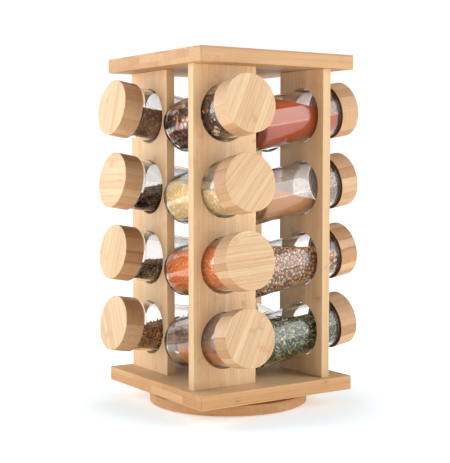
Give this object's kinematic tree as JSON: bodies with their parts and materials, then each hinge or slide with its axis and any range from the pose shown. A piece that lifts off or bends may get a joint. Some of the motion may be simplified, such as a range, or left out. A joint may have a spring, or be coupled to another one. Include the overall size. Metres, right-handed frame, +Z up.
{
  "type": "spice carousel",
  "caption": "Revolving spice rack: square bamboo plates joined by upright panels set in a pinwheel, with lidded glass jars lying tipped in round holes, on a round turning base.",
  "frame": {"origin": "on the floor, under the middle of the round base and on the turning axis", "axes": "+Z up along the turning axis; -Y is the side of the front panel's lids, +X the side of the right panel's lids"},
  "size_m": [0.2032, 0.2032, 0.3157],
  "materials": {
    "bamboo": "satin lacquered bamboo with fine straight grain",
    "lid_bamboo": "sanded laminated bamboo",
    "glass": "clear polished",
    "silicone": "translucent white silicone",
    "steel": "zinc plated",
    "rubber": "matt",
    "spice": "matt ground or whole dry spice, shown only in the visual model"
  },
  "bodies": {
    "base": {"base_disc": "bamboo", "base_feet": "rubber", "bearing_lower_race": "steel", "bearing_balls": "steel"},
    "carousel": {"bearing_upper_race": "steel", "bottom_plate": "bamboo", "panel_screws": "steel", "panel_front": "bamboo", "panel_right": "bamboo", "panel_back": "bamboo", "panel_left": "bamboo", "top_plate": "bamboo"},
    "jar_front_1": {"jar_front_1": "glass"},
    "lid_front_1": {"lid_front_1": "lid_bamboo", "seal_front_1": "silicone"},
    "jar_front_2": {"jar_front_2": "glass"},
    "lid_front_2": {"lid_front_2": "lid_bamboo", "seal_front_2": "silicone"},
    "jar_front_3": {"jar_front_3": "glass"},
    "lid_front_3": {"lid_front_3": "lid_bamboo", "seal_front_3": "silicone"},
    "jar_front_4": {"jar_front_4": "glass"},
    "lid_front_4": {"lid_front_4": "lid_bamboo", "seal_front_4": "silicone"},
    "jar_right_1": {"jar_right_1": "glass"},
    "lid_right_1": {"lid_right_1": "lid_bamboo", "seal_right_1": "silicone"},
    "jar_right_2": {"jar_right_2": "glass"},
    "lid_right_2": {"lid_right_2": "lid_bamboo", "seal_right_2": "silicone"},
    "jar_right_3": {"jar_right_3": "glass"},
    "lid_right_3": {"lid_right_3": "lid_bamboo", "seal_right_3": "silicone"},
    "jar_right_4": {"jar_right_4": "glass"},
    "lid_right_4": {"lid_right_4": "lid_bamboo", "seal_right_4": "silicone"},
    "jar_back_1": {"jar_back_1": "glass"},
    "lid_back_1": {"lid_back_1": "lid_bamboo", "seal_back_1": "silicone"},
    "jar_back_2": {"jar_back_2": "glass"},
    "lid_back_2": {"lid_back_2": "lid_bamboo", "seal_back_2": "silicone"},
    "jar_back_3": {"jar_back_3": "glass"},
    "lid_back_3": {"lid_back_3": "lid_bamboo", "seal_back_3": "silicone"},
    "jar_back_4": {"jar_back_4": "glass"},
    "lid_back_4": {"lid_back_4": "lid_bamboo", "seal_back_4": "silicone"},
    "jar_left_1": {"jar_left_1": "glass"},
    "lid_left_1": {"lid_left_1": "lid_bamboo", "seal_left_1": "silicone"},
    "jar_left_2": {"jar_left_2": "glass"},
    "lid_left_2": {"lid_left_2": "lid_bamboo", "seal_left_2": "silicone"},
    "jar_left_3": {"jar_left_3": "glass"},
    "lid_left_3": {"lid_left_3": "lid_bamboo", "seal_left_3": "silicone"},
    "jar_left_4": {"jar_left_4": "glass"},
    "lid_left_4": {"lid_left_4": "lid_bamboo", "seal_left_4": "silicone"}
  },
  "joints": [
    {"name": "carousel_spin", "type": "hinge", "parent": "base", "child": "carousel", "pos_m": [0, 0, 0.01245], "axis": [0, 0, 1], "continuous": true},
    {"name": "jar_front_1_slide", "type": "slide", "parent": "carousel", "child": "jar_front_1", "axis": [0, -0.9863, 0.165], "range_m": [0, 0.085]},
    {"name": "lid_front_1_pull", "type": "slide", "parent": "jar_front_1", "child": "lid_front_1", "axis": [0, -0.9863, 0.165], "range_m": [0, 0.03]},
    {"name": "jar_front_2_slide", "type": "slide", "parent": "carousel", "child": "jar_front_2", "axis": [0, -0.9863, 0.165], "range_m": [0, 0.085]},
    {"name": "lid_front_2_pull", "type": "slide", "parent": "jar_front_2", "child": "lid_front_2", "axis": [0, -0.9863, 0.165], "range_m": [0, 0.03]},
    {"name": "jar_front_3_slide", "type": "slide", "parent": "carousel", "child": "jar_front_3", "axis": [0, -0.9863, 0.165], "range_m": [0, 0.085]},
    {"name": "lid_front_3_pull", "type": "slide", "parent": "jar_front_3", "child": "lid_front_3", "axis": [0, -0.9863, 0.165], "range_m": [0, 0.03]},
    {"name": "jar_front_4_slide", "type": "slide", "parent": "carousel", "child": "jar_front_4", "axis": [0, -0.9863, 0.165], "range_m": [0, 0.085]},
    {"name": "lid_front_4_pull", "type": "slide", "parent": "jar_front_4", "child": "lid_front_4", "axis": [0, -0.9863, 0.165], "range_m": [0, 0.03]},
    {"name": "jar_right_1_slide", "type": "slide", "parent": "carousel", "child": "jar_right_1", "axis": [0.9863, 0, 0.165], "range_m": [0, 0.085]},
    {"name": "lid_right_1_pull", "type": "slide", "parent": "jar_right_1", "child": "lid_right_1", "axis": [0.9863, 0, 0.165], "range_m": [0, 0.03]},
    {"name": "jar_right_2_slide", "type": "slide", "parent": "carousel", "child": "jar_right_2", "axis": [0.9863, 0, 0.165], "range_m": [0, 0.085]},
    {"name": "lid_right_2_pull", "type": "slide", "parent": "jar_right_2", "child": "lid_right_2", "axis": [0.9863, 0, 0.165], "range_m": [0, 0.03]},
    {"name": "jar_right_3_slide", "type": "slide", "parent": "carousel", "child": "jar_right_3", "axis": [0.9863, 0, 0.165], "range_m": [0, 0.085]},
    {"name": "lid_right_3_pull", "type": "slide", "parent": "jar_right_3", "child": "lid_right_3", "axis": [0.9863, 0, 0.165], "range_m": [0, 0.03]},
    {"name": "jar_right_4_slide", "type": "slide", "parent": "carousel", "child": "jar_right_4", "axis": [0.9863, 0, 0.165], "range_m": [0, 0.085]},
    {"name": "lid_right_4_pull", "type": "slide", "parent": "jar_right_4", "child": "lid_right_4", "axis": [0.9863, 0, 0.165], "range_m": [0, 0.03]},
    {"name": "jar_back_1_slide", "type": "slide", "parent": "carousel", "child": "jar_back_1", "axis": [0, 0.9863, 0.165], "range_m": [0, 0.085]},
    {"name": "lid_back_1_pull", "type": "slide", "parent": "jar_back_1", "child": "lid_back_1", "axis": [0, 0.9863, 0.165], "range_m": [0, 0.03]},
    {"name": "jar_back_2_slide", "type": "slide", "parent": "carousel", "child": "jar_back_2", "axis": [0, 0.9863, 0.165], "range_m": [0, 0.085]},
    {"name": "lid_back_2_pull", "type": "slide", "parent": "jar_back_2", "child": "lid_back_2", "axis": [0, 0.9863, 0.165], "range_m": [0, 0.03]},
    {"name": "jar_back_3_slide", "type": "slide", "parent": "carousel", "child": "jar_back_3", "axis": [0, 0.9863, 0.165], "range_m": [0, 0.085]},
    {"name": "lid_back_3_pull", "type": "slide", "parent": "jar_back_3", "child": "lid_back_3", "axis": [0, 0.9863, 0.165], "range_m": [0, 0.03]},
    {"name": "jar_back_4_slide", "type": "slide", "parent": "carousel", "child": "jar_back_4", "axis": [0, 0.9863, 0.165], "range_m": [0, 0.085]},
    {"name": "lid_back_4_pull", "type": "slide", "parent": "jar_back_4", "child": "lid_back_4", "axis": [0, 0.9863, 0.165], "range_m": [0, 0.03]},
    {"name": "jar_left_1_slide", "type": "slide", "parent": "carousel", "child": "jar_left_1", "axis": [-0.9863, 0, 0.165], "range_m": [0, 0.085]},
    {"name": "lid_left_1_pull", "type": "slide", "parent": "jar_left_1", "child": "lid_left_1", "axis": [-0.9863, 0, 0.165], "range_m": [0, 0.03]},
    {"name": "jar_left_2_slide", "type": "slide", "parent": "carousel", "child": "jar_left_2", "axis": [-0.9863, 0, 0.165], "range_m": [0, 0.085]},
    {"name": "lid_left_2_pull", "type": "slide", "parent": "jar_left_2", "child": "lid_left_2", "axis": [-0.9863, 0, 0.165], "range_m": [0, 0.03]},
    {"name": "jar_left_3_slide", "type": "slide", "parent": "carousel", "child": "jar_left_3", "axis": [-0.9863, 0, 0.165], "range_m": [0, 0.085]},
    {"name": "lid_left_3_pull", "type": "slide", "parent": "jar_left_3", "child": "lid_left_3", "axis": [-0.9863, 0, 0.165], "range_m": [0, 0.03]},
    {"name": "jar_left_4_slide", "type": "slide", "parent": "carousel", "child": "jar_left_4", "axis": [-0.9863, 0, 0.165], "range_m": [0, 0.085]},
    {"name": "lid_left_4_pull", "type": "slide", "parent": "jar_left_4", "child": "lid_left_4", "axis": [-0.9863, 0, 0.165], "range_m": [0, 0.03]}
  ]
}
